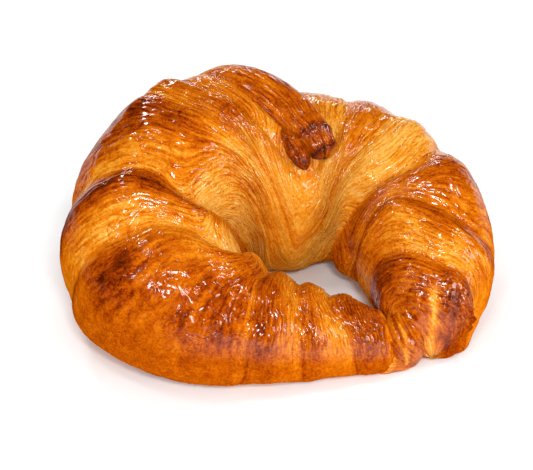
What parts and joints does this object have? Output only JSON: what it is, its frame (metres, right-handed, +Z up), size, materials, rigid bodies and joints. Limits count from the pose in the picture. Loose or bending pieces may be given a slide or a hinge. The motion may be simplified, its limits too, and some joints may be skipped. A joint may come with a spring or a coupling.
{
  "type": "croissant",
  "caption": "Glazed, golden-brown laminated croissant, curled so that its two horns meet round a small hole, with the rolled triangle's tip lying over its top.",
  "frame": {"origin": "on the surface that the croissant stands on, below the middle of its bounding box", "axes": "+Z up; -Y towards the joined horns at the front; +X to the right as seen from there, along the longest extent"},
  "size_m": [0.1332, 0.1035, 0.061],
  "materials": {
    "crust": "glazed"
  },
  "bodies": {
    "root": {"croissant": "crust"}
  },
  "joints": []
}
